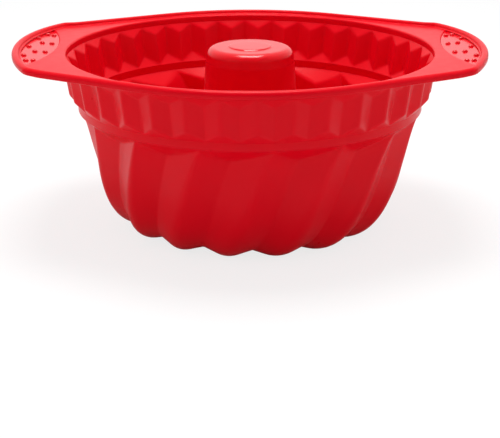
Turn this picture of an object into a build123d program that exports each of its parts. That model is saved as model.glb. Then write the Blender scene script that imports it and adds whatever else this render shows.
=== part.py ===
"""A silicone bundt pan: a fluted band over a swirled bowl, a closed centre tube and two grip handles.

Units are millimetres. +Z is up, +X runs along the two handles, and the origin is on the
surface that the pan stands on, under its centre.
"""

import math
import os

from build123d import *

os.makedirs("parts", exist_ok=True)

# ---- driving dimensions ----
PAN_HEIGHT = 107.2  # from the standing surface to the flat top of the rim
OPENING_D = 220.0  # bore of the collar
WALL = 2.3  # silicone wall of the band, bowl and tube

# rim
RIM_W = 9.5  # from the bore to the outside of the lip
FLANGE_T = 1.8  # thickness of the rim and of the handle plates
LIP_W = 4.2  # width of the raised lip
LIP_RISE = 2.3  # height of the lip above the rim
LIP_ROUND = 1.8  # rounding of the lip's two upper edges
MOUTH_ROUND = 1.0  # rounding of the rim's edge into the bore
WIRE_D = 2.0  # stiffening wire inside the lip

# handles
HANDLE_OUT = 21.5  # how far the handles' outer edges lie beyond the rim's
FLANK_ANGLE = 60.7  # direction, from +X, in which a handle's straight flank leaves the rim
HANDLE_CORNER = 12.0  # outer corner radius
HANDLE_START = 0.7  # where a handle begins to rise, outside the collar
HANDLE_TILT = 4.0  # upward tilt of a handle, in degrees
HANDLE_BEND = 60.0  # radius of the bend into that tilt
PAD_W = 20.1  # width of a grip pad at its middle
PAD_ROUND = 140.0  # radius of a pad's inner edge
PAD_DROP = 0.8  # how far a pad lies below its handle's surface
PIP_D = 3.5  # a pip's foot
PIP_RISE = 1.2  # a pip's height
# each pip's distance in from the handle's outer edge, and along it from the middle
PIPS = ((19.5, 12.0), (16.8, 36.0), (13.5, 12.5), (12.8, 37.0), (9.2, 24.5), (7.7, 0.0))

# fluted band
COLLAR_DROP = 4.0  # plain collar, from the top of the rim down to the flutes
BAND_FLUTES = 36
BAND_DROP = 25.2  # height of the fluted band
SHOULDER_IN = 4.0  # how far the ridges start inside the bore
SHOULDER_DROP = 5.0  # height of the inverted triangles over the ridges
TOE_OUT = 5.0  # how far the grooves end outside the waist
TOE_RISE = 5.5  # height of the triangles under the grooves
GROOVE_FLAT = 1.8  # width of the flat at the bottom of each groove
RIDGE_AZIMUTH = 7.0  # direction of one ridge, from +X

# waist
WAIST_IN = 8.0  # how far the plain ring's bore lies inside the opening's
WAIST_DROP = 4.6  # its height

# swirled bowl, measured on the underside
SWIRL_FLUTES = 16
SWIRL_AZIMUTH = 8.0  # direction in which one groove leaves the waist
SWIRL_TURN = 30.0  # turn of a groove from the waist to the foot of the tube
FLUTE_DEPTH = 7.0  # groove to ridge below the waist
FLUTE_DEPTH_BASE = 5.0  # the same under the pan
SWIRL_SHOULDER = 8.5  # height of the shoulder triangles over the ridges
BELLY_OUT = 34.3  # how far the belly's curve bulges outside the trough's lowest line
TROUGH_IN = 35.3  # how far the trough's lowest line lies inside the waist's bore
BASE_FLAT = 0.6  # how much of each lobe is flattened where the pan stands

# centre tube, measured on the batter side
TUBE_TOP_D = 53.4  # diameter just under its rounded top
TUBE_DRAFT = 4.1  # taper of its wall, in degrees
TUBE_FOOT_RISE = 25.7  # where the tube meets the trough, above the standing surface
TUBE_RISE = 0.5  # top of the tube above the rim
TUBE_ROUND = 5.0  # rounding of its top edge
CAP_DROP = 8.0  # where the cap meets the tube, below the top of the rim
CAP_DISC_D = 25.0  # raised disc on the cap
CAP_DISC_RISE = 0.6

# ---- sizes that follow ----
BORE_R = OPENING_D / 2
RIM_R = BORE_R + RIM_W
HANDLE_REACH = RIM_R + HANDLE_OUT
HANDLE_ROOT_X = BORE_R + WALL + HANDLE_START
WAIST_R = BORE_R - WAIST_IN
TROUGH_R = WAIST_R - TROUGH_IN
BAND_TOP_Z = PAN_HEIGHT - COLLAR_DROP
WAIST_TOP_Z = BAND_TOP_Z - BAND_DROP
SWIRL_TOP_Z = WAIST_TOP_Z - WAIST_DROP
FOOT_Z = TUBE_FOOT_RISE
TUBE_FOOT_DROP = PAN_HEIGHT - FOOT_Z
CAP_Z = PAN_HEIGHT - CAP_DROP
TUBE_TOP_Z = PAN_HEIGHT + TUBE_RISE
TUBE_SLOPE = math.tan(math.radians(TUBE_DRAFT))
TOUCH = 0.3  # how far a flute's end stops short of the round edge that it runs into
OVER = 3.0  # how far a cutting shape runs past what it cuts
FAR = HANDLE_REACH + 20.0


def polar(radius, degrees, z):
    """The point at a radius and direction, at height z."""
    angle = math.radians(degrees)
    return Vector(radius * math.cos(angle), radius * math.sin(angle), z)


def ring(outline):
    """The solid that a closed outline of (radius, height) points sweeps round the axis."""
    face = Face(Wire.make_polygon([(r, 0, z) for r, z in outline]))
    return revolve(face, Axis.Z, 360)


def save(name, shape):
    """Writes one node and prints what it holds."""
    shape.label = name
    export_step(shape, f"parts/{name}.step")
    print(f"{name}: {len(shape.solids())} solids, {shape.volume:.0f} mm3, valid {shape.is_valid}")


# ---- rim, lip and handles: one outline, inset by different amounts ----
def rim_outline(inset):
    """The rim's outline moved inward: rim arcs, straight flanks, rounded corners and handle arcs.

    Each flank is tangent to the rim's circle. Its corner arc touches the flank and the
    handle's arc from inside, so its centre lies at known distances from both.
    """
    rim, reach, corner = RIM_R - inset, HANDLE_REACH - inset, HANDLE_CORNER - inset
    out = polar(1, FLANK_ANGLE, 0)
    along = polar(1, FLANK_ANGLE - 90, 0)
    across = RIM_R - HANDLE_CORNER
    run = math.sqrt((HANDLE_REACH - HANDLE_CORNER) ** 2 - across**2)
    centre = out * across + along * run
    flank_end = centre + out * corner
    arc_start = centre + centre.normalized() * corner
    half = (out + centre.normalized()).normalized()

    def mirrored(point, sx, sy):
        return (point.X * sx, point.Y * sy)

    edges = []
    for sx in (1, -1):
        for sy in (1, -1):
            edges += [
                Line(mirrored(out * rim, sx, sy), mirrored(flank_end, sx, sy)),
                ThreePointArc(
                    mirrored(flank_end, sx, sy),
                    mirrored(centre + half * corner, sx, sy),
                    mirrored(arc_start, sx, sy),
                ),
            ]
    for s in (1, -1):
        edges += [
            ThreePointArc(mirrored(out * rim, 1, s), (0, rim * s), mirrored(out * rim, -1, s)),
            ThreePointArc(mirrored(arc_start, s, 1), (reach * s, 0), mirrored(arc_start, s, -1)),
        ]
    return Wire([edge.edge() for edge in edges])


def plan(wire):
    """A tall prism over an outline."""
    return extrude(Face(wire), FAR, both=True).moved(Location((0, 0, PAN_HEIGHT)))


def slab(low, high):
    """The layer between two heights above the rim's top, rising with the handles at both ends."""
    tilt = math.radians(HANDLE_TILT)
    bend_x = HANDLE_ROOT_X + HANDLE_BEND * math.sin(tilt)
    bend_z = HANDLE_BEND * (1 - math.cos(tilt))
    end_z = bend_z + (FAR - bend_x) * math.tan(tilt)

    def half(sign):
        def at(x, z):
            return (sign * x, 0, PAN_HEIGHT + z)

        def upper(z):
            mid = Vector(HANDLE_BEND * math.sin(tilt / 2), HANDLE_BEND * (1 - math.cos(tilt / 2)))
            return [
                Edge.make_line(at(0, z), at(HANDLE_ROOT_X, z)),
                Edge.make_three_point_arc(
                    at(HANDLE_ROOT_X, z), at(HANDLE_ROOT_X + mid.X, z + mid.Y), at(bend_x, z + bend_z)
                ),
                Edge.make_line(at(bend_x, z + bend_z), at(FAR, z + end_z)),
            ]

        ends = [
            Edge.make_line(at(0, low), at(0, high)),
            Edge.make_line(at(FAR, low + end_z), at(FAR, high + end_z)),
        ]
        return extrude(Face(Wire(upper(low) + upper(high) + ends)), FAR, both=True, dir=(0, 1, 0))

    return half(1) + half(-1)


def beyond_root(side):
    """The space outside a handle's root line, on one side."""
    return Pos(side * (HANDLE_ROOT_X + FAR / 2), 0, PAN_HEIGHT) * Box(FAR, 2 * FAR, 2 * FAR)


def pad_window(side):
    """The lens of a grip pad: inside the lip, and inside a wide circle that sets its inner edge."""
    inner_x = HANDLE_REACH - LIP_W - PAD_W
    circle = Pos(side * (inner_x + PAD_ROUND), 0) * Circle(PAD_ROUND)
    tall = extrude(circle, FAR, both=True).moved(Location((0, 0, PAN_HEIGHT)))
    return tall & plan(rim_outline(LIP_W)) & beyond_root(side)


def make_rim_flange():
    """The flat rim, with a rounded edge into the collar below it."""
    flat = slab(-FLANGE_T, 0) & plan(rim_outline(LIP_W))
    for side in (1, -1):
        flat -= beyond_root(side)
    collar = Pos(0, 0, BAND_TOP_Z) * extrude(Circle(BORE_R + WALL), COLLAR_DROP - FLANGE_T / 2)
    mouth = Pos(0, 0, BAND_TOP_Z - OVER) * extrude(Circle(BORE_R), COLLAR_DROP + 2 * OVER)
    rim = flat + collar - mouth
    edge = rim.edges().filter_by(GeomType.CIRCLE).filter_by(
        lambda e: abs(e.radius - BORE_R) < 0.01 and abs(e.center().Z - PAN_HEIGHT) < 0.01
    )
    return fillet(edge, MOUTH_ROUND)


def make_rim_lip(wire):
    """The raised lip round the rim and both handles, moulded round its wire."""
    band = slab(-FLANGE_T, LIP_RISE) & (plan(rim_outline(0)) - plan(rim_outline(LIP_W)))
    top = band.edges().filter_by(lambda e: e.center().Z > PAN_HEIGHT + LIP_RISE - 0.05)
    rounded = fillet(top, min(LIP_ROUND, 0.45 * LIP_W))
    return rounded - wire


def make_rim_wire():
    """The wire at the middle of the lip: flat round the rim, tilted with each handle."""
    middle = (LIP_RISE - FLANGE_T) / 2
    outline = rim_outline(LIP_W / 2)
    knee = HANDLE_ROOT_X + HANDLE_BEND * math.tan(math.radians(HANDLE_TILT / 2))
    flat = outline & Rectangle(2 * knee, 2 * FAR)
    edges = list(flat.edges())
    for side in (1, -1):
        beyond = Pos(side * (knee + FAR / 2), 0) * Rectangle(FAR, 2 * FAR)
        hinge = Axis((side * knee, 0, 0), (0, -side, 0))
        edges += [edge.rotate(hinge, HANDLE_TILT) for edge in (outline & beyond).edges()]
    path = Wire(edges).moved(Location((0, 0, PAN_HEIGHT + middle)))
    start = Plane(origin=path @ 0, z_dir=path % 0)
    return sweep(start * Circle(WIRE_D / 2), path, transition=Transition.RIGHT)


def make_handle(side):
    """One tab plate, open where its grip pad lies."""
    plate = slab(-FLANGE_T, 0) & plan(rim_outline(LIP_W)) & beyond_root(side)
    return plate - pad_window(side)


def make_grip_pad(side):
    """The polished web that closes a handle's window, below the handle's surface."""
    return slab(-FLANGE_T, -PAD_DROP) & pad_window(side)


def make_grip_pips(side):
    """The domes on one grip pad: caps of a sphere with flat feet on the pad's tilted face."""
    tilt = math.radians(HANDLE_TILT)
    bend_x = HANDLE_ROOT_X + HANDLE_BEND * math.sin(tilt)
    bend_z = HANDLE_BEND * (1 - math.cos(tilt))
    foot = PIP_D / 2
    ball = (foot**2 + PIP_RISE**2) / (2 * PIP_RISE)
    dome = Pos(0, 0, PIP_RISE - ball) * Sphere(ball)
    dome = dome & Pos(0, 0, ball) * Box(4 * ball, 4 * ball, 2 * ball)
    domes = []
    for inset, y in PIPS:
        x = HANDLE_REACH - inset
        z = PAN_HEIGHT - PAD_DROP + bend_z + (x - bend_x) * math.tan(tilt)
        for place in {y, -y}:
            domes.append(Location((side * x, place, z), (0, -side * HANDLE_TILT, 0)) * dome)
    return Compound(children=[d.solid() for d in domes])


# ---- fluted band ----
def band_star(height, grow):
    """The star of grooves and ridges at one height, each groove with a small flat."""
    drop = BAND_TOP_Z - height
    groove_fall = (BORE_R - TOUCH - WAIST_R - TOE_OUT) / (BAND_DROP - TOE_RISE)
    ridge_top = BORE_R - SHOULDER_IN
    ridge_fall = (ridge_top - WAIST_R - TOUCH) / (BAND_DROP - SHOULDER_DROP)
    groove = BORE_R - TOUCH - groove_fall * drop + grow
    ridge = ridge_top - ridge_fall * (drop - SHOULDER_DROP) + grow
    step = 360 / BAND_FLUTES
    flat = math.degrees(GROOVE_FLAT / 2 / BORE_R)
    points = []
    for k in range(BAND_FLUTES):
        at = RIDGE_AZIMUTH + k * step
        points += [
            polar(ridge, at, height),
            polar(groove, at + step / 2 - flat, height),
            polar(groove, at + step / 2 + flat, height),
        ]
    return Wire.make_polygon(points)


def band_body(grow):
    """The band's filled shape: the star, rounded off by a cone above and a cone below."""
    star = Solid.make_loft([band_star(WAIST_TOP_Z, grow), band_star(BAND_TOP_Z, grow)], True)
    bottom = WAIST_R + grow
    spread = TOE_OUT / TOE_RISE
    flared = bottom + spread * BAND_DROP
    limit = ring([(0, WAIST_TOP_Z), (bottom, WAIST_TOP_Z), (flared, BAND_TOP_Z), (0, BAND_TOP_Z)])
    top = BORE_R + grow
    close = SHOULDER_IN / SHOULDER_DROP
    narrowed = top - close * BAND_DROP
    crown = ring([(0, BAND_TOP_Z), (top, BAND_TOP_Z), (narrowed, WAIST_TOP_Z), (0, WAIST_TOP_Z)])
    return (star & limit) + crown


def make_flute_band():
    """The band of straight flutes between the collar and the waist."""
    return band_body(WALL) - band_body(0)


def make_waist_ring():
    """The plain ring between the band and the swirl."""
    inner, outer = WAIST_R, WAIST_R + WALL
    return ring([(inner, SWIRL_TOP_Z), (outer, SWIRL_TOP_Z), (outer, WAIST_TOP_Z), (inner, WAIST_TOP_Z)])


# ---- swirled bowl ----
def bezier(points, t):
    """The point at t on a cubic curve with four control points."""
    u = 1 - t
    weights = (u**3, 3 * u * u * t, 3 * u * t * t, t**3)
    return tuple(sum(w * p[i] for w, p in zip(weights, points)) for i in (0, 1))


def bowl_curves():
    """The groove line of the underside: down the belly to the trough, then up to the tube's foot."""
    top_r, trough_r = WAIST_R + WALL - TOUCH, TROUGH_R
    foot_r = TUBE_TOP_D / 2 - WALL + TUBE_SLOPE * (TUBE_FOOT_DROP - TUBE_ROUND)
    height = SWIRL_TOP_Z
    belly = [
        (top_r, height),
        (top_r - 0.078 * top_r, height * 0.81),
        (trough_r + BELLY_OUT, -BASE_FLAT),
        (trough_r, -BASE_FLAT),
    ]
    rise = FOOT_Z * 0.62
    inner = [
        (trough_r, -BASE_FLAT),
        (trough_r - (trough_r - foot_r) * 0.5, -BASE_FLAT),
        (foot_r + TUBE_SLOPE * rise, FOOT_Z - rise),
        (foot_r, FOOT_Z),
    ]
    return belly, inner


def bowl_line(share, ridge, grow):
    """A point (radius, height) of a groove or ridge line, at a share of the way to the foot.

    The first two thirds are the belly and the rest is the rise to the tube. The inward
    direction is at right angles to the curve, and turns level at both ends, so that the
    lines of the underside and of the batter side end at the same heights.
    """
    belly, inner = bowl_curves()
    turn = 2 / 3
    curve, t = (belly, share / turn) if share <= turn else (inner, (share - turn) / (1 - turn))
    t = max(t, 0)
    r, z = bezier(curve, t)
    r2, z2 = bezier(curve, min(t + 0.01, 1))
    r1, z1 = bezier(curve, max(t - 0.01, 0))
    length = math.hypot(r2 - r1, z2 - z1)
    in_r, in_z = (z2 - z1) / length, -(r2 - r1) / length
    blend = min(1, max(0, share) / 0.3, (1 - share) / 0.2)
    blend = blend * blend * (3 - 2 * blend)
    level = -1 if share < 0.5 else 1
    in_r, in_z = level + (in_r - level) * blend, in_z * blend
    length = math.hypot(in_r, in_z)
    fade = min(1, (1 - share) / (1 - turn))
    depth = FLUTE_DEPTH + (FLUTE_DEPTH_BASE - FLUTE_DEPTH) * min(1, max(0, share) / turn)
    inset = grow + (depth * fade * fade * (3 - 2 * fade) if ridge else 0)
    if share < 0:
        r, z = r - share * OVER * 2, SWIRL_TOP_Z + OVER
    return r + inset * in_r / length, z + inset * in_z / length


def bowl_edge(index, grow):
    """Groove line (even index) or ridge line (odd index) as a smooth curve from waist to foot."""
    shares = [-0.08] + [k / 15 for k in range(1, 16)]
    points = []
    for share in shares:
        r, z = bowl_line(share, index % 2 == 1, grow)
        points.append(polar(r, SWIRL_AZIMUTH + index * 180 / SWIRL_FLUTES - SWIRL_TURN * share, z))
    return Edge.make_spline(points, parameters=[s - shares[0] for s in shares])


def bowl_body(grow):
    """The bowl's filled shape: a ruled face between each two neighbouring lines, and two caps."""
    lines = [bowl_edge(k, grow) for k in range(2 * SWIRL_FLUTES)]
    pairs = list(zip(lines, lines[1:] + lines[:1]))
    faces = [Face.make_surface_from_curves(a, b) for a, b in pairs]
    for end in (0, 1):
        faces.append(Face(Wire.make_polygon([line @ end for line in lines])))
    body = Solid(Shell(faces))
    shoulder_r = WAIST_R + WALL - grow
    ridge_r = bowl_line(0.12, True, grow)[0]
    fall = (shoulder_r - ridge_r) / SWIRL_SHOULDER
    depth = SWIRL_SHOULDER * 1.6
    cone = ring([
        (0, SWIRL_TOP_Z), (shoulder_r, SWIRL_TOP_Z), (shoulder_r - fall * depth, SWIRL_TOP_Z - depth),
        (0, SWIRL_TOP_Z - depth),
    ])
    return body, cone


def make_bowl():
    """The swirled bowl in three rings: the upright wall, the trough's curve and the hub's slope.

    The wall ends level with the foot of the tube, and the two rings under it meet at the
    trough's lowest line.
    """
    outer, outer_cone = bowl_body(0)
    inner, inner_cone = bowl_body(WALL)
    reach = WAIST_R + 2 * WALL
    room = ring([(0, 0), (reach, 0), (reach, SWIRL_TOP_Z), (0, SWIRL_TOP_Z)])
    shell = ((outer & room) + outer_cone) - (inner + inner_cone)
    low = ring([(0, 0), (reach, 0), (reach, FOOT_Z), (0, FOOT_Z)])
    hub = ring([(0, 0), (TROUGH_R, 0), (TROUGH_R, FOOT_Z), (0, FOOT_Z)])
    return shell - low, (shell & low) - hub, shell & hub


# ---- centre tube ----
def tube_radius(drop):
    """Batter-side radius of the tube at a distance below the top of the rim."""
    return TUBE_TOP_D / 2 + TUBE_SLOPE * (drop - TUBE_ROUND)


def make_centre_tube():
    """The tapered tube between the trough and the cap."""
    foot, top = tube_radius(TUBE_FOOT_DROP), tube_radius(CAP_DROP)
    return ring([(foot - WALL, FOOT_Z), (foot, FOOT_Z), (top, CAP_Z), (top - WALL, CAP_Z)])


def make_tube_cap():
    """The closed top of the tube: a rounded edge and a low disc in the middle."""
    bottom = tube_radius(CAP_DROP)
    top = tube_radius(-TUBE_RISE)
    roof = TUBE_TOP_Z - WALL
    outside = ring([(0, CAP_Z), (bottom, CAP_Z), (top, TUBE_TOP_Z), (0, TUBE_TOP_Z)])
    rim_edge = outside.edges().filter_by(lambda e: e.center().Z > TUBE_TOP_Z - 0.01)
    outside = fillet(rim_edge, TUBE_ROUND)
    hollow = ring([
        (0, CAP_Z - OVER), (bottom - WALL + TUBE_SLOPE * OVER, CAP_Z - OVER), (top - WALL, roof), (0, roof),
    ])
    roof_edge = hollow.edges().filter_by(lambda e: e.center().Z > roof - 0.01)
    hollow = fillet(roof_edge, TUBE_ROUND - WALL)
    disc = Pos(0, 0, TUBE_TOP_Z) * extrude(Circle(CAP_DISC_D / 2), CAP_DISC_RISE)
    return outside - hollow + disc


def main():
    wire = make_rim_wire()
    save("rim_flange", make_rim_flange())
    save("rim_wire", wire)
    save("rim_lip", make_rim_lip(wire))
    for name, side in (("left", -1), ("right", 1)):
        save(f"{name}_handle", make_handle(side))
        save(f"{name}_grip_pad", make_grip_pad(side))
        save(f"{name}_grip_pips", make_grip_pips(side))
    save("flute_band", make_flute_band())
    save("waist_ring", make_waist_ring())
    for name, shape in zip(("swirl_wall", "trough_curve", "hub_slope"), make_bowl()):
        save(name, shape)
    save("centre_tube", make_centre_tube())
    save("tube_cap", make_tube_cap())


main()
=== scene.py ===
"""Looks of a silicone bundt pan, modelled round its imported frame.

Lengths in the geometry are millimetres in the frame's own axes, and become metres
in one place, surface(). Every silicone piece is a surface on a grid: rows follow a
profile and columns go round the pan.
"""

import bmesh
import bpy
import numpy as np
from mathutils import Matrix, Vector


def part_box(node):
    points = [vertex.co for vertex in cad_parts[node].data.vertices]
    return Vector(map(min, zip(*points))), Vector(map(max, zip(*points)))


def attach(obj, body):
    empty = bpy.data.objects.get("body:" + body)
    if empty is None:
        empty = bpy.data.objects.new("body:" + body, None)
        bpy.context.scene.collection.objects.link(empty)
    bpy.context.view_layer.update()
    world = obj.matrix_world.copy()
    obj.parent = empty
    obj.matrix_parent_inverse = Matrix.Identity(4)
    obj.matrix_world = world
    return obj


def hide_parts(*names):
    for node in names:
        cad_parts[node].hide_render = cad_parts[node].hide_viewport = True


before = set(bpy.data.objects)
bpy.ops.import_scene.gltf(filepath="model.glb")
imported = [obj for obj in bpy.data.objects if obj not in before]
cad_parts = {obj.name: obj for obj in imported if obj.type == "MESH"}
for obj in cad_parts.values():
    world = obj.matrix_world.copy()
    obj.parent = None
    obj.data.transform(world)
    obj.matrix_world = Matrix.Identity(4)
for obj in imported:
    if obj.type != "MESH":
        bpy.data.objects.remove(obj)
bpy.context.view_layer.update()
MM = 0.001


def edges_of(node):
    """Lowest and highest corner of a frame node in millimetres."""
    low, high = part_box(node)
    return np.array(low) / MM, np.array(high) / MM


# ---- sizes read from the frame ----
RIM_Z = edges_of("rim_flange")[1][2]
RIM_R = edges_of("rim_lip")[1][1]
REACH = edges_of("rim_lip")[1][0]
WAIST_LOW, WAIST_HIGH = edges_of("waist_ring")[0][2], edges_of("waist_ring")[1][2]
BAND_HIGH = edges_of("flute_band")[1][2]
FOOT_Z = edges_of("centre_tube")[0][2]
CAP_Z = edges_of("tube_cap")[0][2]
CAP_TOP = edges_of("tube_cap")[1][2]
BAND_DROP = BAND_HIGH - WAIST_HIGH
SIDES = {-1: "left", 1: "right"}

# ---- sizes of the moulding ----
SKIN = 0.03  # the looks stay this far inside the frame's own faces
TRIM = 0.02  # thins the lip's top and the rim's underside a little more
BORE_R = 110.0
WALL = 2.3
FLANGE_T = 1.8
LIP_W, LIP_RISE = 4.2, 2.3
CROWN_IN, CROWN_OUT = 1.6, 2.5  # rounding of the lip's crown towards the mouth and outward
LIP_FOOT = 0.9  # hollow fillet from the rim up to the lip
MOUTH_ROUND = 1.1
COLLAR_FILLET = 0.5  # under the rim, where the collar starts
UNDER_LIP = 1.0  # how far the rim runs on below the lip
FLANK = np.radians(60.7)
CORNER = 12.0
ROOT_X, TILT, BEND = 113.0, np.radians(4.0), 60.0
PAD_W, PAD_ROUND, PAD_DROP, PAD_T = 20.1, 140.0, 0.8, 0.7
PAD_SPAN, PAD_POINT = np.radians(22.6), 0.375  # angles off X: the grid's end, the lens's point
RECESS_EDGE, RECESS_GAP = 0.6, 0.05  # half the width of the recess's slope, room under the pad
PIP_D, PIP_RISE = 3.5, 1.2
PIPS = ((19.5, 12.0), (16.8, 36.0), (13.5, 12.5), (12.8, 37.0), (9.2, 24.5), (7.7, 0.0))

BAND_FLUTES, RIDGE_AZIMUTH = 36, np.radians(7.0)
SHOULDER_IN, SHOULDER_DROP = 4.0, 5.0
TOE_OUT, TOE_RISE = 5.0, 5.5
GROOVE_FLAT = 1.8
WAIST_R = 102.0
BAND_EDGE = 0.45  # rounding of the band's facet edges
BAND_GROOVE_EDGE = 0.35  # the same, beside the flat of a groove
RIDGE_BLUNT = 0.0045  # the angle over which a ridge line is blunted

SWIRL_FLUTES, SWIRL_AZIMUTH, SWIRL_TURN = 16, np.radians(8.0), np.radians(30.0)
FLUTE_DEPTH, FLUTE_DEPTH_BASE = 7.0, 5.0
SWIRL_SHOULDER = 8.5
BELLY_OUT, TROUGH_R, BASE_FLAT = 34.3, 66.7, 1.1
BELLY_SHARE = 2 / 3  # share of the profile from the waist to the trough
BELLY_TOP = np.array([0.922, 0.81])  # the belly's second point, as shares of its first
FOOT_CLIMB = 0.62  # share of the foot's height over which the slope turns up into the tube
GROOVE_EDGE, GROOVE_EDGE_BASE = 1.3, 6.5  # rounding of the swirl's outer edges, waist and base
GROOVE_EDGE_SHARE = 0.55  # share of the profile by which the outer edges are fully round
RIDGE_EDGE = 1.2  # rounding of its inner edges
EDGE_LIMIT = 0.42  # most of a facet's width that one edge's rounding takes
CONE_EDGE, CONE_SHARE = 0.6, 0.4  # rounding of the shoulder's cone, and where it stops
RIDGE_SHARE = 0.12  # share of the profile at which the ridges leave the cone

TUBE_TOP_R, TUBE_SLOPE, TUBE_ROUND = 26.7, np.tan(np.radians(4.1)), 5.0
CAP_DISC_R, CAP_DISC_RISE = 12.5, 0.6
TOUCH = 0.3  # step by which a flute's end stays clear of the ring that it meets

# ---- grid counts ----
RIM_COLUMNS, HANDLE_CROWDING = 1152, 0.14
BAND_ROWS, FLUTE_COLUMNS, EDGE_CROWDING = 50, 18, 0.06
WAIST_COLUMNS, TUBE_COLUMNS, PIP_COLUMNS = 576, 256, 24
BOWL_ROWS, BOWL_CROWDING = 92, 0.045

# ---- finish: body colour, its deeper clouds, roughness, its spread, grain and specular ----
SATIN = ("#E7021A", "#DE0117", 0.3, 0.05, 0.2, 0.14)
POLISHED = ("#E4061A", "#DB0416", 0.15, 0.04, 0.08, 0.5)
STEEL = "#C2C3C5"

# ---- studio, in metres and watts ----
FLOOR_HALF = 4.0
CAMERA_BACK, CAMERA_UP, CAMERA_PITCH, CAMERA_LENS = 0.6584, 0.1379, 20.69, 79.3
AIM = Vector((0.0, 0.0, 0.06))
SOFT_BOXES = (
    # name, place, size, power, seen in the pan's shine
    ("overhead_box", (0.0, 0.15, 1.3), 0.6, 14, True),
    ("left_box", (-1.3, -0.8, 0.4), 1.6, 8.5, False),
    ("right_box", (1.3, -0.8, 0.4), 1.6, 7, False),
)


# ---- numbers ----
def smooth_step(x):
    """0 below 0, 1 above 1, and an S-curve between."""
    x = np.clip(x, 0, 1)
    return x * x * (3 - 2 * x)


def soft_min(a, b, k):
    """The smaller of a and b, rounded over a width k where they cross."""
    h = np.clip(0.5 + 0.5 * (b - a) / k, 0, 1)
    return b + (a - b) * h - k * h * (1 - h)


def soft_max(a, b, k):
    """The larger of a and b, rounded over a width k where they cross."""
    return -soft_min(-a, -b, k)


def arc(centre, radius, start, end, count):
    """Points on a circle's arc in (radius, height), from one angle in degrees to another."""
    t = np.radians(np.linspace(start, end, count))
    return np.column_stack([centre[0] + radius * np.cos(t), centre[1] + radius * np.sin(t)])


def run(start, end, count):
    """Points on a straight line, both ends left out."""
    t = np.linspace(0, 1, count + 2)[1:-1, None]
    return np.array(start) * (1 - t) + np.array(end) * t


def around(count):
    """Directions evenly round the pan."""
    return np.linspace(0, 2 * np.pi, count, endpoint=False)


# ---- meshes ----
def surface(name, *grids, wrap_rows=True, wrap_columns=True, crease=40.0):
    """A closed mesh from one or more (rows, columns, 3) grids in millimetres.

    Neighbouring grid points make quads, and rows or columns that wrap join their last to
    their first. Points that coincide, as at a pole, are merged. The volume that each
    grid's faces enclose is summed, and a negative one turns them all round.
    """
    all_points, all_quads, base = [], [], 0
    for points in grids:
        rows, columns = points.shape[:2]
        index = np.arange(rows * columns).reshape(rows, columns)
        if wrap_rows:
            index = np.vstack([index, index[:1]])
        if wrap_columns:
            index = np.hstack([index, index[:, :1]])
        quads = np.stack([index[:-1, :-1], index[:-1, 1:], index[1:, 1:], index[1:, :-1]], -1)
        quads = quads.reshape(-1, 4)
        flat = points.reshape(-1, 3)
        a, b, c, d = (flat[quads[:, k]] - flat.mean(axis=0) for k in range(4))
        volume = np.einsum("ij,ij->", a, np.cross(b, c)) + np.einsum("ij,ij->", a, np.cross(c, d))
        all_points.append(flat)
        all_quads.append((quads[:, ::-1] if volume < 0 else quads) + base)
        base += len(flat)
    return mesh_object(name, np.vstack(all_points), np.vstack(all_quads), crease)


def mesh_object(name, flat, quads, crease):
    """A mesh object from points in millimetres and quads, smooth but for its sharp edges."""
    mesh = bpy.data.meshes.new(name)
    mesh.vertices.add(len(flat))
    mesh.vertices.foreach_set("co", (flat * MM).astype(np.float32).ravel())
    mesh.loops.add(quads.size)
    mesh.loops.foreach_set("vertex_index", quads.astype(np.int32).ravel())
    mesh.polygons.add(len(quads))
    mesh.polygons.foreach_set("loop_start", np.arange(0, quads.size, 4, dtype=np.int32))
    mesh.update(calc_edges=True)
    mesh.validate()
    merge_doubles(mesh)
    mesh.shade_smooth()
    mesh.set_sharp_from_angle(angle=np.radians(crease))
    piece = bpy.data.objects.new(name, mesh)
    bpy.context.scene.collection.objects.link(piece)
    return piece


def merge_doubles(mesh):
    """Merges points closer than a thousandth of a millimetre."""
    work = bmesh.new()
    work.from_mesh(mesh)
    bmesh.ops.remove_doubles(work, verts=work.verts, dist=1e-6)
    work.to_mesh(mesh)
    work.free()


def turned(profile, directions):
    """Sweeps a (radius, height) profile round the axis."""
    r, z = profile[:, 0, None], profile[:, 1, None]
    x, y = r * np.cos(directions), r * np.sin(directions)
    return np.stack([x, y, z + 0 * x], -1)


# ---- rim, lip and handles ----
def outline(directions, inset):
    """The rim outline's distance from the axis in each direction, moved inward by an inset.

    Folded into one quarter: the rim's circle, then the straight flank that is tangent to
    it, then the corner's arc, then the handle's arc about the axis.
    """
    t = np.abs(directions % np.pi)
    t = np.minimum(t, np.pi - t)
    rim, reach, corner = RIM_R - SKIN - inset, REACH - SKIN - inset, CORNER - inset
    across = RIM_R - CORNER
    along = np.sqrt((REACH - CORNER) ** 2 - across**2)
    centre = np.array([
        across * np.cos(FLANK) + along * np.sin(FLANK),
        across * np.sin(FLANK) - along * np.cos(FLANK),
    ])
    flank_end = centre + (corner - SKIN) * np.array([np.cos(FLANK), np.sin(FLANK)])
    dot = centre[0] * np.cos(t) + centre[1] * np.sin(t)
    cross = centre[0] * np.sin(t) - centre[1] * np.cos(t)
    rounded = dot + np.sqrt(np.maximum((corner - SKIN) ** 2 - cross**2, 0))
    flank = rim / np.cos(np.minimum(FLANK - t, 1.2))
    out = np.where(t >= FLANK, rim, flank)
    out = np.where(t <= np.arctan2(flank_end[1], flank_end[0]), rounded, out)
    return np.where(t <= np.arctan2(centre[1], centre[0]), reach, out)


def rise(x):
    """How far the handles have risen at a distance along X: a bend's arc, then a straight tilt."""
    run_in = np.clip(np.abs(x) - ROOT_X, 0, BEND * np.sin(TILT))
    beyond = np.maximum(np.abs(x) - ROOT_X - BEND * np.sin(TILT), 0)
    return BEND - np.sqrt(BEND**2 - run_in**2) + beyond * np.tan(TILT)


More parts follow.
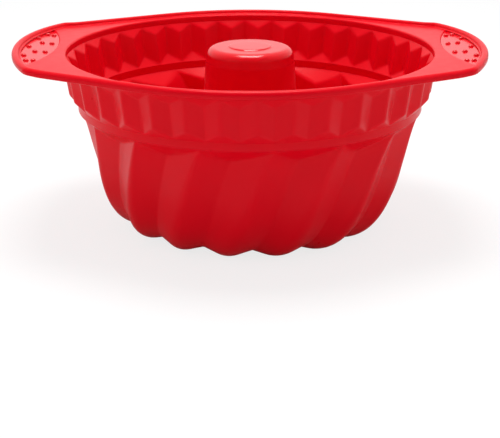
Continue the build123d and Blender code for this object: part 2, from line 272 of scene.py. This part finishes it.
def pad_edge(directions):
    """Distance from the axis to a pad's inner edge, and how deep the recess is there.

    The edge is a wide circle centred far outside the handle. Past the points of the lens
    it stays just inside the lip, where the depth has faded to nothing.
    """
    t = np.arctan2(np.sin(directions), np.abs(np.cos(directions)))
    inside = outline(directions, LIP_W)
    centre = REACH - LIP_W - PAD_W + PAD_ROUND
    under = np.maximum(PAD_ROUND**2 - (centre * np.sin(t)) ** 2, 0)
    near = centre * np.cos(t) - np.sqrt(under)
    near = np.where(under > 0, near, inside)
    depth = PAD_DROP * smooth_step((inside - near) / 2.5)
    return np.minimum(near, inside - 1.2), depth


def lifted(radius, directions, height):
    """Points at a distance and height in each direction, lifted with the handles."""
    x, y = radius * np.cos(directions), radius * np.sin(directions)
    return np.stack([x, y, RIM_Z - SKIN + height + rise(x)], -1)


def rim_directions():
    """Directions round the rim, closer together over the handles."""
    t = around(RIM_COLUMNS)
    return t - HANDLE_CROWDING * np.sin(2 * t)


def make_rim():
    """The flat rim, collar and handle plates, with the two lens-shaped recesses.

    Each column runs from the collar's foot up its bore, over the rounded mouth, out across
    the rim, down the recess's sloping edge to its floor and in under the lip, then back
    along the underside and down the outside of the collar.
    """
    t = rim_directions()
    one = np.ones_like(t)
    inside = outline(t, LIP_W)
    edge, depth = pad_edge(t)
    rows = []
    for r, z in arc((BORE_R + MOUTH_ROUND, -MOUTH_ROUND), MOUTH_ROUND, 180, 90, 8):
        rows.append(lifted(r * one, t, z))
    mouth = BORE_R + MOUTH_ROUND
    for share in np.linspace(0, 1, 9)[1:-1]:
        rows.append(lifted(mouth + (edge - RECESS_EDGE - mouth) * share, t, 0))
    floor = -(depth + RECESS_GAP)
    for step in np.linspace(-RECESS_EDGE, RECESS_EDGE, 7):
        rows.append(lifted(edge + step, t, floor * smooth_step(step + 0.5)))
    start, end = edge + RECESS_EDGE, inside + UNDER_LIP
    for share in (0.25, 0.5, 0.75, 1.0):
        rows.append(lifted(start + (end - start) * share, t, floor))
    under = -FLANGE_T + TRIM
    rows.append(lifted(end, t, under))
    outer = BORE_R + WALL
    start = outer + COLLAR_FILLET
    for share in np.linspace(1, 0, 6)[1:]:
        rows.append(lifted(start + (end - start) * share, t, under))
    for r, z in arc((start, under - COLLAR_FILLET), COLLAR_FILLET, 90, 180, 5)[1:]:
        rows.append(lifted(r * one, t, z))
    foot = BAND_HIGH - RIM_Z
    rows.append(lifted(outer * one, t, foot))
    rows.append(lifted(BORE_R * one, t, foot))
    points = np.array(rows)
    points[-1, :, 2] = points[-2, :, 2] = BAND_HIGH
    return surface("rim_plate", points)


def make_lip():
    """The raised lip: one rounded section carried round the rim's outline.

    The section is (inset, height): a hollow fillet up from the rim, a rounded crown, a
    straight outer side and a rounded lower edge.
    """
    t = rim_directions()
    top, low = LIP_RISE - TRIM, -FLANGE_T + TRIM
    section = np.vstack([
        arc((LIP_W + LIP_FOOT, LIP_FOOT), LIP_FOOT, 270, 180, 6),
        arc((LIP_W - CROWN_IN, top - CROWN_IN), CROWN_IN, 0, 90, 10),
        arc((CROWN_OUT, top - CROWN_OUT), CROWN_OUT, 90, 180, 12),
        arc((0.6, low + 0.6), 0.6, 180, 270, 5),
        [(LIP_W + 0.4, low), (LIP_W + 0.4, -0.2)],
    ])
    rows = [lifted(outline(t, inset), t, z) for inset, z in section]
    return surface("rim_bead", np.array(rows))


def make_pad(side):
    """One polished grip pad: a thin lens between its recess's edge and the lip.

    Columns cross the lens at each direction between its two points, where they close up.
    """
    t = np.linspace(-1, 1, 121) * PAD_SPAN
    inside = outline(t, LIP_W)
    edge, _ = pad_edge(t)
    start = np.minimum(edge + 0.35, inside)
    width = np.maximum(inside + 0.1 - start, 0) * (1 - smooth_step((np.abs(t) - PAD_POINT) / 0.02))
    rows = []
    for share in np.linspace(0, 1, 13):
        rows.append(lifted(start + width * share, t, -PAD_DROP + 0 * t))
    for share in (1.0, 0.0):
        rows.append(lifted(start + width * share, t, -PAD_DROP - PAD_T + 0 * t))
    points = np.array(rows)
    points[:, [0, -1]] = points[:, [0, -1]].mean(axis=0, keepdims=True)
    points[..., 0] *= side
    return surface(f"{SIDES[side]}_pad_face", points, wrap_columns=False)


def make_pips(side):
    """The eleven domes of one pad: each a low round cap that flares into the pad at its foot."""
    radius = np.array([1.0, 0.9, 0.78, 0.64, 0.46, 0.24, 0.0]) * PIP_D / 2
    height = np.array([0.0, 0.3, 0.58, 0.8, 0.93, 0.99, 1.0]) * PIP_RISE
    profile = np.column_stack([np.append([0.0], radius), np.append([-0.3], height)])
    dome = turned(profile, around(PIP_COLUMNS))
    faces = []
    for inset, y in PIPS:
        for place in sorted({y, -y}):
            centre_x = REACH - inset
            points = dome.copy()
            points[..., 2] += RIM_Z - PAD_DROP + rise(centre_x + points[..., 0])
            points[..., 0] += centre_x
            points[..., 1] += place
            faces.append(points * np.array([side, 1, 1]))
    return surface(f"{SIDES[side]}_pips", *faces, wrap_rows=False)


# ---- fluted band ----
def band_radius(turn, drop, grow):
    """The band's distance from the axis, from the angle off its nearest ridge and the drop.

    Between a ridge line and a groove line the facet is a straight line in plan. It is
    limited by the cone that closes the grooves at the waist, and never inside the cone
    that opens the ridges to the collar, all with softened edges.
    """
    half = np.pi / BAND_FLUTES
    flat = GROOVE_FLAT / 2 / BORE_R
    groove_fall = (BORE_R - TOUCH - WAIST_R - TOE_OUT) / (BAND_DROP - TOE_RISE)
    ridge_fall = (BORE_R - SHOULDER_IN - WAIST_R - TOUCH) / (BAND_DROP - SHOULDER_DROP)
    groove = BORE_R - TOUCH - groove_fall * drop + grow
    ridge = BORE_R - SHOULDER_IN - ridge_fall * (drop - SHOULDER_DROP) + grow
    off = np.sqrt(turn**2 + RIDGE_BLUNT**2) - RIDGE_BLUNT * 0.5
    wide = half - flat
    facet = ridge * groove * np.sin(wide) / (ridge * np.sin(off) + groove * np.sin(wide - off))
    star = soft_min(facet, groove, BAND_GROOVE_EDGE)
    closing = WAIST_R + grow + (BAND_DROP - drop) * TOE_OUT / TOE_RISE
    opening = BORE_R + grow - drop * SHOULDER_IN / SHOULDER_DROP
    return soft_max(soft_min(star, closing, BAND_EDGE), opening, BAND_EDGE)


def make_band():
    """The band of straight flutes: batter side down, underside up, closed at both ends."""
    step = np.linspace(-1, 1, FLUTE_COLUMNS, endpoint=False)
    offsets = (step - EDGE_CROWDING * np.sin(2 * np.pi * step)) * np.pi / BAND_FLUTES
    centres = RIDGE_AZIMUTH + np.arange(BAND_FLUTES) * 2 * np.pi / BAND_FLUTES
    directions = (centres[:, None] + offsets).ravel()
    turn = np.tile(offsets, BAND_FLUTES)
    drop = np.linspace(0, BAND_DROP, BAND_ROWS)[:, None]
    inner = band_radius(turn, drop, 0)
    outer = band_radius(turn, drop, WALL)
    inner[0], inner[-1] = BORE_R, WAIST_R
    outer[0], outer[-1] = BORE_R + WALL, WAIST_R + WALL
    radius = np.vstack([inner, outer[::-1]])
    height = np.vstack([BAND_HIGH - drop, BAND_HIGH - drop[::-1]]) + 0 * radius
    points = np.stack([radius * np.cos(directions), radius * np.sin(directions), height], -1)
    return surface("fluted_band", points)


def make_waist():
    """The plain ring under the band."""
    outer = WAIST_R + WALL
    profile = np.array([
        (WAIST_R, WAIST_LOW), (outer, WAIST_LOW), (outer, WAIST_HIGH), (WAIST_R, WAIST_HIGH),
    ])
    return surface("waist", turned(profile, around(WAIST_COLUMNS)))


# ---- swirled bowl ----
def bowl_profile(share):
    """The underside's groove line (radius, height) and its inward direction at each share.

    Two cubic curves: the belly from the waist down to the trough over the first two
    thirds, then the rise to the tube's foot. The inward direction is square to the curve
    and turns level at both ends.
    """
    top_r = WAIST_R + WALL - TOUCH
    foot_r = TUBE_TOP_R - WALL + TUBE_SLOPE * (RIM_Z - FOOT_Z - TUBE_ROUND)
    climb = FOOT_Z * FOOT_CLIMB
    belly = np.array([
        (top_r, WAIST_LOW), BELLY_TOP * (top_r, WAIST_LOW),
        (TROUGH_R + BELLY_OUT, -BASE_FLAT), (TROUGH_R, -BASE_FLAT),
    ])
    back = np.array([
        (TROUGH_R, -BASE_FLAT), ((TROUGH_R + foot_r) / 2, -BASE_FLAT),
        (foot_r + TUBE_SLOPE * climb, FOOT_Z - climb), (foot_r, FOOT_Z),
    ])
    first = share <= BELLY_SHARE
    beyond = (share - BELLY_SHARE) / (1 - BELLY_SHARE)
    t = np.where(first, share / BELLY_SHARE, beyond)[:, None]
    u = 1 - t
    weights = np.hstack([u**3, 3 * u * u * t, 3 * u * t * t, t**3])
    slopes = np.hstack([-u * u, u * u - 2 * u * t, 2 * u * t - t * t, t * t])
    line = np.where(first[:, None], weights @ belly, weights @ back)
    along = np.where(first[:, None], slopes @ belly, slopes @ back)
    along /= np.linalg.norm(along, axis=1, keepdims=True)
    inward = np.column_stack([along[:, 1], -along[:, 0]])
    blend = smooth_step(np.minimum(share / 0.3, (1 - share) / 0.2))[:, None]
    level = np.column_stack([np.where(share < 0.5, -1.0, 1.0), 0 * share])
    inward = level * (1 - blend) + inward * blend
    return line, inward / np.linalg.norm(inward, axis=1, keepdims=True)


def flute_depth(share):
    """How far the ridges stand in from the grooves: deepest below the waist, gone at the foot."""
    depth = FLUTE_DEPTH + (FLUTE_DEPTH_BASE - FLUTE_DEPTH) * np.minimum(1, share / BELLY_SHARE)
    return depth * smooth_step((1 - share) / (1 - BELLY_SHARE))


def bowl_skin(share, grow):
    """One skin of the bowl as a grid, grown inward from the underside by a distance.

    Every row is a star of groove and ridge points turned by the swirl. Its corners are
    replaced by quadratic curves that start and end a little way along the two facets,
    and its facets are straight. Near the waist the star is kept outside a cone, which
    leaves the shoulder triangles.
    """
    line, inward = bowl_profile(share)
    depth = flute_depth(share)
    count = 2 * SWIRL_FLUTES
    odd = np.arange(count) % 2
    inset = grow + depth[:, None] * odd
    radius = line[:, :1] + inset * inward[:, :1]
    height = line[:, 1:] + inset * inward[:, 1:]
    azimuth = SWIRL_AZIMUTH + np.arange(count) * np.pi / SWIRL_FLUTES - SWIRL_TURN * share[:, None]
    corner = np.stack([radius * np.cos(azimuth), radius * np.sin(azimuth), height], -1)
    before, after = np.roll(corner, 1, axis=1) - corner, np.roll(corner, -1, axis=1) - corner
    width = np.linalg.norm(after, axis=-1, keepdims=True)
    rounder = smooth_step(share / GROOVE_EDGE_SHARE)[:, None]
    groove_edge = GROOVE_EDGE + (GROOVE_EDGE_BASE - GROOVE_EDGE) * rounder
    reach = np.where(odd, RIDGE_EDGE, groove_edge)[..., None] / width
    reach = np.minimum(reach, EDGE_LIMIT)
    start, end = corner + before * reach, corner + after * reach
    parts = []
    for t in np.linspace(0, 1, 7):
        parts.append(start * (1 - t) ** 2 + corner * 2 * t * (1 - t) + end * t * t)
    following = np.roll(start, -1, axis=1)
    for t in np.linspace(0, 1, 8)[1:-1]:
        parts.append(end * (1 - t) + following * t)
    points = np.stack(parts, axis=2).reshape(len(share), -1, 3)
    r = np.hypot(points[..., 0], points[..., 1])
    shoulder = WAIST_R + WALL - grow
    ridge_share = np.array([RIDGE_SHARE])
    ridge_line, ridge_in = bowl_profile(ridge_share)
    ridge = ridge_line[0, 0] + (grow + flute_depth(ridge_share)[0]) * ridge_in[0, 0]
    cone = shoulder - (WAIST_LOW - points[..., 2]) * (shoulder - ridge) / SWIRL_SHOULDER
    near_waist = share[:, None] < CONE_SHARE
    kept = np.where(near_waist, soft_max(r, cone, CONE_EDGE), r)
    kept[0] = shoulder
    points[..., :2] *= (kept / r)[..., None]
    return points


def make_bowl():
    """The swirled bowl and trough: underside down to the tube's foot, then the batter side back."""
    share = np.linspace(0, 1, BOWL_ROWS)
    share = share - BOWL_CROWDING * np.sin(2 * np.pi * share)
    under = bowl_skin(share, 0.0)
    under[..., 2] = soft_max(under[..., 2], 0 * under[..., 2] + SKIN, 0.3)
    batter = bowl_skin(share, WALL)[::-1]
    return surface("swirled_bowl", np.concatenate([under, batter]))


# ---- centre tube ----
def tube_radius(z):
    """Batter-side radius of the tube at a height."""
    return TUBE_TOP_R + TUBE_SLOPE * (RIM_Z - z - TUBE_ROUND)


def make_tube():
    """The tapered wall of the tube."""
    z = np.linspace(FOOT_Z, CAP_Z, 14)
    outer = np.column_stack([tube_radius(z), z])
    inner = np.column_stack([tube_radius(z) - WALL, z])[::-1]
    return surface("tube_wall", turned(np.vstack([outer, inner]), around(TUBE_COLUMNS)))


def make_cap():
    """The rounded closed top of the tube, with a low disc in the middle and a hollow inside."""
    top = CAP_TOP - CAP_DISC_RISE - SKIN
    shoulder = tube_radius(top) - TUBE_ROUND
    roof = top - WALL
    inner_round = TUBE_ROUND - WALL
    disc = CAP_DISC_R
    profile = np.vstack([
        [(tube_radius(CAP_Z), CAP_Z)],
        arc((shoulder, top - TUBE_ROUND), TUBE_ROUND, 4, 90, 16),
        run((shoulder, top), (disc + 0.8, top), 3),
        arc((disc + 0.8, top + 0.3), 0.3, 270, 225, 3),
        arc((disc - 0.1, top + CAP_DISC_RISE - 0.3), 0.3, 45, 90, 4),
        run((disc - 0.1, top + CAP_DISC_RISE), (0, top + CAP_DISC_RISE), 4),
        [(0, top + CAP_DISC_RISE), (0, roof)],
        run((0, roof), (shoulder, roof), 4),
        arc((shoulder, roof - inner_round), inner_round, 90, 4, 8),
        [(tube_radius(CAP_Z) - WALL, CAP_Z)],
    ])
    return surface("tube_crown", turned(profile, around(TUBE_COLUMNS)))


# ---- materials ----
def linear(code):
    """An sRGB hex colour as linear values."""
    s = np.array([int(code[k : k + 2], 16) for k in (1, 3, 5)]) / 255
    return (*np.where(s <= 0.04045, s / 12.92, ((s + 0.055) / 1.055) ** 2.4), 1.0)


def add(tree, kind, links=(), **settings):
    """Adds a node, sets its sockets or properties by name, and links its inputs."""
    node = tree.nodes.new(kind)
    for name, value in settings.items():
        if name in node.inputs:
            node.inputs[name].default_value = value
        else:
            setattr(node, name, value)
    for socket, source in links:
        tree.links.new(source, node.inputs[socket])
    return node


def new_material(name):
    """An empty node material, its tree and its output."""
    material = bpy.data.materials.new(name)
    material.use_nodes = True
    material.node_tree.nodes.clear()
    return material, material.node_tree, add(material.node_tree, "ShaderNodeOutputMaterial")


def silicone(name, colour, deep, roughness, spread, grain, specular):
    """Press-moulded silicone rubber.

    The eye sees a saturated body colour that deepens in faint clouds a few centimetres
    across, a mould grain of fractions of a millimetre that blurs the shine, and patches
    a few millimetres across where the mould was rubbed smoother.
    """
    material, tree, output = new_material(name)
    place = add(tree, "ShaderNodeTexCoord").outputs["Object"]
    clouds = add(tree, "ShaderNodeTexNoise", [("Vector", place)], Scale=1 / (35 * MM), Detail=2.0)
    tint = add(tree, "ShaderNodeMix", [("Factor", clouds.outputs["Fac"])], data_type="RGBA")
    tint.inputs[6].default_value, tint.inputs[7].default_value = linear(colour), linear(deep)
    rubbed = add(tree, "ShaderNodeTexNoise", [("Vector", place)], Scale=1 / (6 * MM), Detail=3.0)
    shine = add(tree, "ShaderNodeMapRange", [("Value", rubbed.outputs["Fac"])])
    shine.inputs["To Min"].default_value = roughness - spread  # where the mould was rubbed smooth
    shine.inputs["To Max"].default_value = roughness + spread
    fine = add(tree, "ShaderNodeTexNoise", [("Vector", place)], Scale=1 / (0.7 * MM), Detail=3.0)
    bump = add(tree, "ShaderNodeBump", [("Height", fine.outputs["Fac"])], Strength=grain)
    bump.inputs["Distance"].default_value = 0.05 * MM
    shader = add(
        tree,
        "ShaderNodeBsdfPrincipled",
        [
            ("Base Color", tint.outputs[2]),
            ("Roughness", shine.outputs["Result"]),
            ("Normal", bump.outputs["Normal"]),
        ],
        IOR=1.41,
    )
    shader.inputs["Specular IOR Level"].default_value = specular
    tree.links.new(shader.outputs["BSDF"], output.inputs["Surface"])
    return material


def drawn_steel():
    """Drawn stainless wire: bright metal with fine die lines, hidden inside the lip."""
    material, tree, output = new_material("drawn_stainless_wire")
    place = add(tree, "ShaderNodeTexCoord").outputs["Object"]
    lines = add(tree, "ShaderNodeTexNoise", [("Vector", place)], Scale=1 / (0.3 * MM), Detail=2.0)
    shine = add(tree, "ShaderNodeMapRange", [("Value", lines.outputs["Fac"])])
    shine.inputs["To Min"].default_value, shine.inputs["To Max"].default_value = 0.25, 0.4
    rough = [("Roughness", shine.outputs["Result"])]
    shader = add(tree, "ShaderNodeBsdfPrincipled", rough, Metallic=1.0)
    shader.inputs["Base Color"].default_value = linear(STEEL)
    tree.links.new(shader.outputs["BSDF"], output.inputs["Surface"])
    return material


# ---- studio ----
def make_floor():
    """A pale paper floor: nearly white to the camera, with the pan's shadow kept on it.

    It is a little darker where the pan mirrors it.
    """
    material, tree, output = new_material("pale_paper_floor")
    path = add(tree, "ShaderNodeLightPath")
    paper = add(tree, "ShaderNodeBsdfDiffuse", Color=linear("#E8E8E8"))
    white = add(tree, "ShaderNodeEmission", Color=(1, 1, 1, 1), Strength=1.05)
    dim = add(tree, "ShaderNodeBsdfDiffuse", Color=linear("#E0E0E0"))
    room = add(tree, "ShaderNodeMixShader", [
        (0, path.outputs["Is Glossy Ray"]), (1, paper.outputs[0]), (2, dim.outputs[0])
    ])
    seen = add(tree, "ShaderNodeMath", [(0, path.outputs["Is Camera Ray"])], operation="MULTIPLY")
    seen.inputs[1].default_value = 0.75
    mix = add(tree, "ShaderNodeMixShader", [
        (0, seen.outputs[0]), (1, room.outputs[0]), (2, white.outputs[0])
    ])
    tree.links.new(mix.outputs[0], output.inputs["Surface"])
    half = FLOOR_HALF / MM
    corners = np.array([[(x, y, 0) for x in (-half, half)] for y in (-half, half)])
    floor = surface("floor", corners, wrap_rows=False, wrap_columns=False)
    floor.data.materials.append(material)


def make_world():
    """A studio that is white behind and above the pan and dim on the camera's side."""
    world = bpy.data.worlds.new("studio")
    bpy.context.scene.world = world
    world.use_nodes = True
    tree = world.node_tree
    tree.nodes.clear()
    output = add(tree, "ShaderNodeOutputWorld")
    direction = add(tree, "ShaderNodeTexCoord").outputs["Generated"]
    toward = add(tree, "ShaderNodeVectorMath", [(0, direction)], operation="DOT_PRODUCT")
    toward.inputs[1].default_value = (0, 0.8, 0.6)
    level = add(tree, "ShaderNodeMapRange", [("Value", toward.outputs["Value"])])
    for name, value in {"From Min": 0.0, "From Max": 0.9, "To Min": 0.15, "To Max": 1.1}.items():
        level.inputs[name].default_value = value
    room = add(tree, "ShaderNodeBackground", [("Strength", level.outputs["Result"])])
    white = add(tree, "ShaderNodeBackground", Color=(1, 1, 1, 1), Strength=1.0)
    camera = add(tree, "ShaderNodeLightPath").outputs["Is Camera Ray"]
    mix = add(tree, "ShaderNodeMixShader", [(0, camera), (1, room.outputs[0]), (2, white.outputs[0])])
    tree.links.new(mix.outputs[0], output.inputs["Surface"])


def add_light(name, place, size, power, shine):
    """A square soft box that faces the middle of the pan, seen in its shine or only lighting it."""
    lamp = bpy.data.lights.new(name, "AREA")
    lamp.shape, lamp.size, lamp.energy = "SQUARE", size, power
    light = bpy.data.objects.new(name, lamp)
    light.location = place
    light.visible_glossy = shine
    light.rotation_euler = (AIM - light.location).to_track_quat("-Z", "Y").to_euler()
    bpy.context.scene.collection.objects.link(light)


def make_camera():
    """The camera: in front of the middle, above the rim, looking down at the pan."""
    camera = bpy.data.cameras.new("camera")
    camera.sensor_width, camera.lens = 36.0, CAMERA_LENS
    view = bpy.data.objects.new("camera", camera)
    view.location = (0.0, -CAMERA_BACK, RIM_Z * MM + CAMERA_UP)
    view.rotation_euler = (np.radians(90 - CAMERA_PITCH), 0, 0)
    bpy.context.scene.collection.objects.link(view)
    bpy.context.scene.camera = view


# ---- the pan ----
def main():
    """Makes each piece, gives it its material and its place on the frame, and sets the studio."""
    satin = silicone("moulded_silicone_satin", *SATIN)
    polished = silicone("polished_silicone", *POLISHED)
    plan = [
        (make_rim(), satin, "silicone_matt", ["rim_flange", "left_handle", "right_handle"]),
        (make_lip(), satin, "silicone_matt", ["rim_lip"]),
        (make_band(), satin, "silicone_matt", ["flute_band"]),
        (make_waist(), satin, "silicone_matt", ["waist_ring"]),
        (make_bowl(), satin, "silicone_matt", ["swirl_wall", "trough_curve", "hub_slope"]),
        (make_tube(), satin, "silicone_matt", ["centre_tube"]),
        (make_cap(), polished, "silicone_gloss", ["tube_cap"]),
    ]
    for side, word in SIDES.items():
        plan.append((make_pad(side), polished, "silicone_gloss", [f"{word}_grip_pad"]))
        plan.append((make_pips(side), polished, "silicone_gloss", [f"{word}_grip_pips"]))
    for piece, material, slot, nodes in plan:
        piece.data.materials.clear()
        piece.data.materials.append(material)
        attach(piece, "root")
        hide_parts(*nodes)
    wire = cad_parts["rim_wire"]
    for holder in wire.material_slots:
        holder.material = drawn_steel()
    make_floor()
    make_world()
    make_camera()
    for box in SOFT_BOXES:
        add_light(*box)
    bpy.context.scene.view_settings.view_transform = "Standard"


main()
